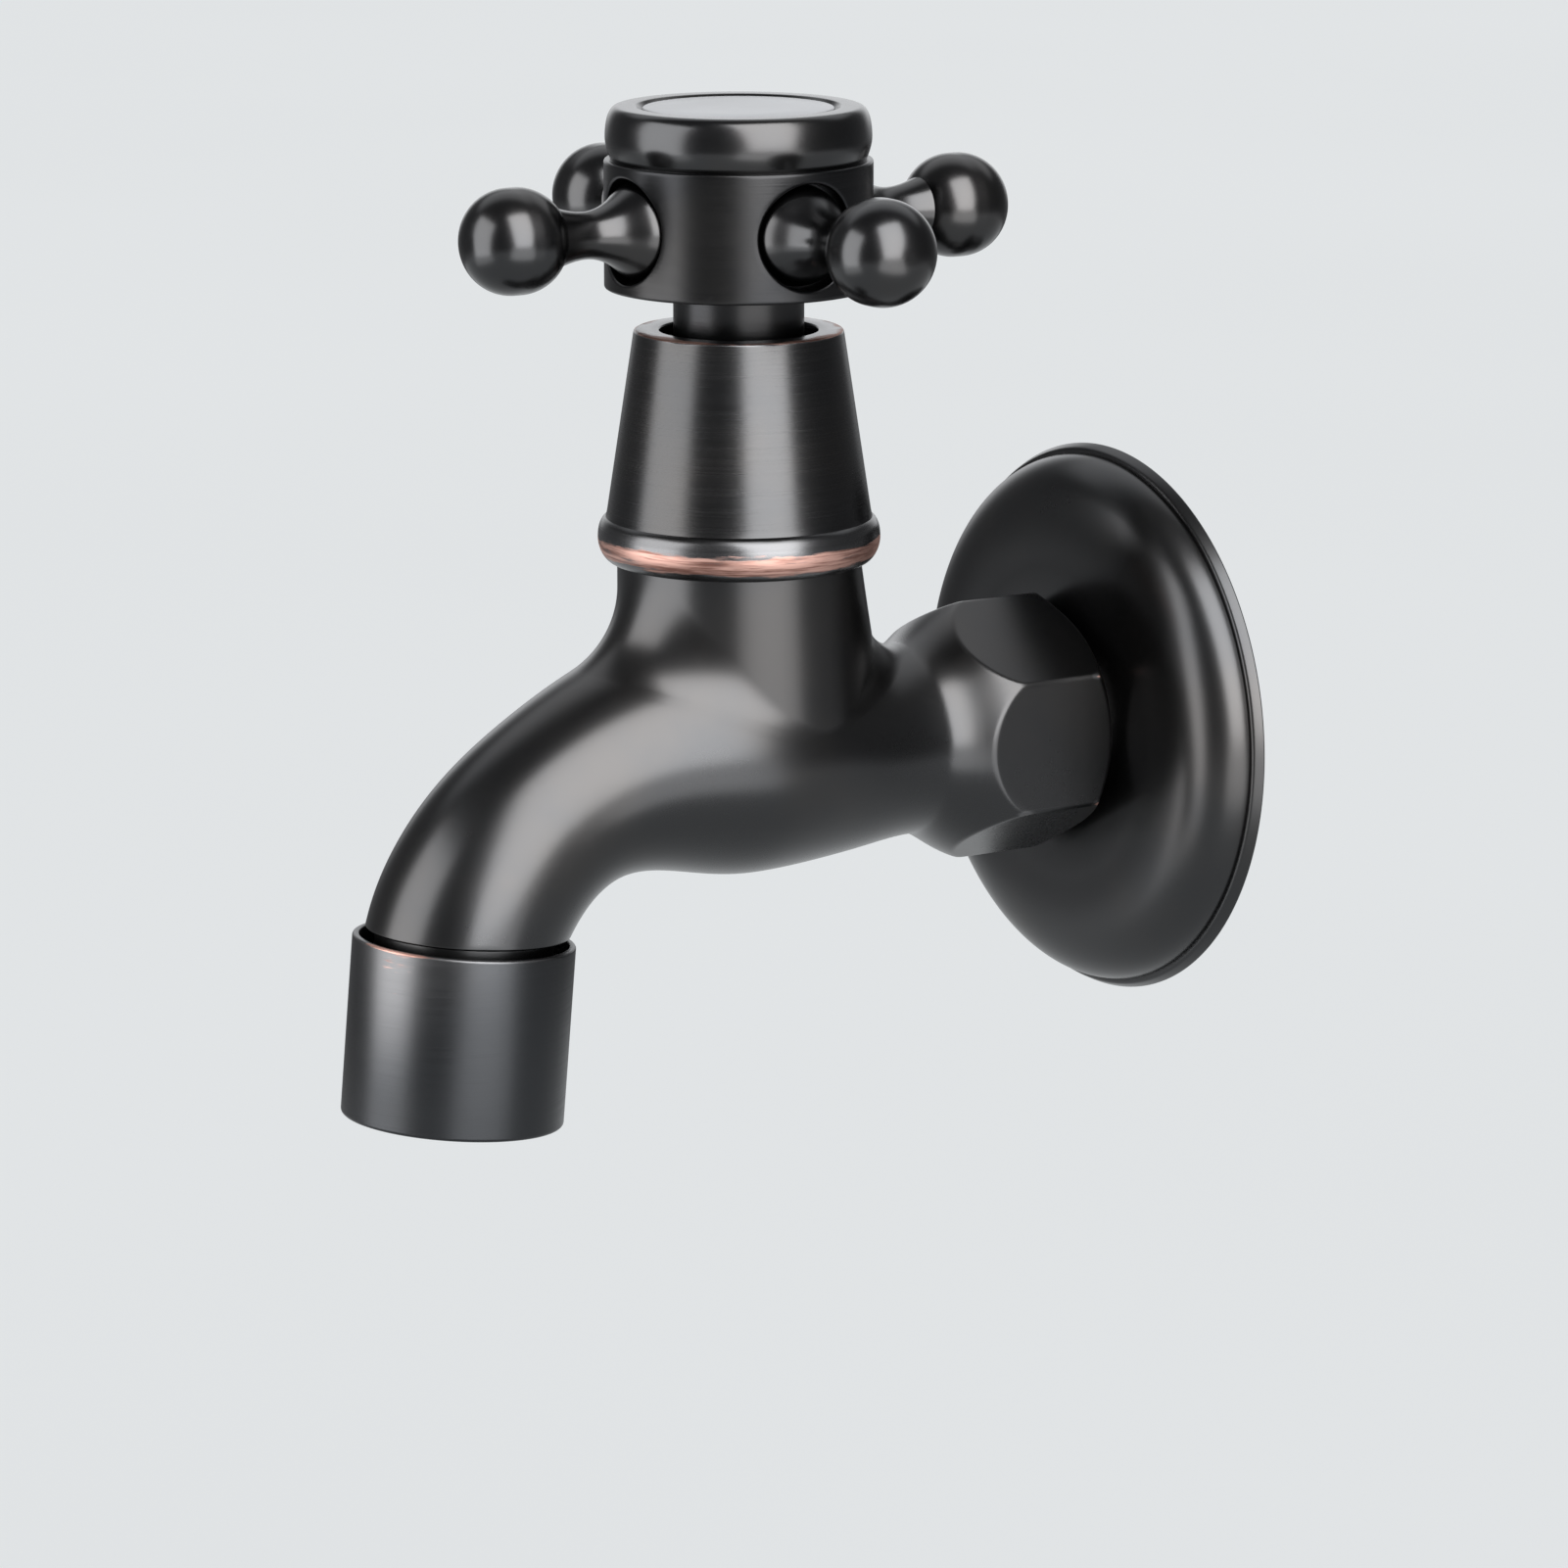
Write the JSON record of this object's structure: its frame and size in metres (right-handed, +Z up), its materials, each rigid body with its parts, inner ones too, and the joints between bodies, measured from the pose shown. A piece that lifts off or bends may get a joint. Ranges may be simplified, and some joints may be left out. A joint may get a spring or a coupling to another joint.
{
  "type": "wall tap",
  "caption": "Wall-mounted cold water tap with a cross handle, tapered bonnet, bent spout with aerator collar and round wall flange.",
  "frame": {"origin": "on the inlet axis, where it meets the plane of the wall", "axes": "+Y into the wall along the inlet thread, +Z up along the handle's axis, +X to the side; the spout points to -Y"},
  "size_m": [0.065, 0.1042, 0.1042],
  "materials": {
    "bronzed_body": "oil-rubbed black over cast and polished brass, satin",
    "bronzed_flange": "oil-rubbed black over spun brass, satin",
    "brushed_bronze": "oil-rubbed black with fine turned brush lines, copper showing at worn edges",
    "bronzed_handle": "oil-rubbed black, polished satin",
    "index_face": "oil-rubbed black, flat satin face",
    "plain_brass": "machined brass",
    "steel": "bright stainless steel",
    "ceramic_disc": "lapped white alumina",
    "seal_rubber": "black nitrile",
    "slip_plastic": "white low-friction plastic",
    "aerator_plastic": "white moulded plastic"
  },
  "bodies": {
    "body": {"tap_body": "bronzed_body", "bonnet_cover": "brushed_bronze", "cartridge_housing": "plain_brass", "housing_o_ring": "seal_rubber", "seat_seal": "seal_rubber", "fixed_ceramic_disc": "ceramic_disc", "nozzle_collar": "brushed_bronze", "aerator_body": "aerator_plastic", "aerator_screens": "steel", "aerator_washer": "seal_rubber"},
    "handle": {"handle_hub": "brushed_bronze", "handle_arm_right": "bronzed_handle", "handle_arm_back": "bronzed_handle", "handle_arm_left": "bronzed_handle", "handle_arm_front": "bronzed_handle", "handle_cap": "bronzed_handle", "index_disc": "index_face", "handle_screw": "steel", "spindle": "plain_brass", "spindle_o_rings": "seal_rubber", "slip_washer": "slip_plastic", "circlip": "steel", "moving_ceramic_disc": "ceramic_disc"},
    "flange": {"wall_flange": "bronzed_flange"}
  },
  "joints": [
    {"name": "handle_turn", "type": "hinge", "parent": "body", "child": "handle", "pos_m": [0, -0.0468, 0], "axis": [0, 0, 1], "range_deg": [-90, 0]},
    {"name": "flange_slide", "type": "slide", "parent": "body", "child": "flange", "axis": [0, -1, 0], "range_m": [0, 0.00085]}
  ]
}
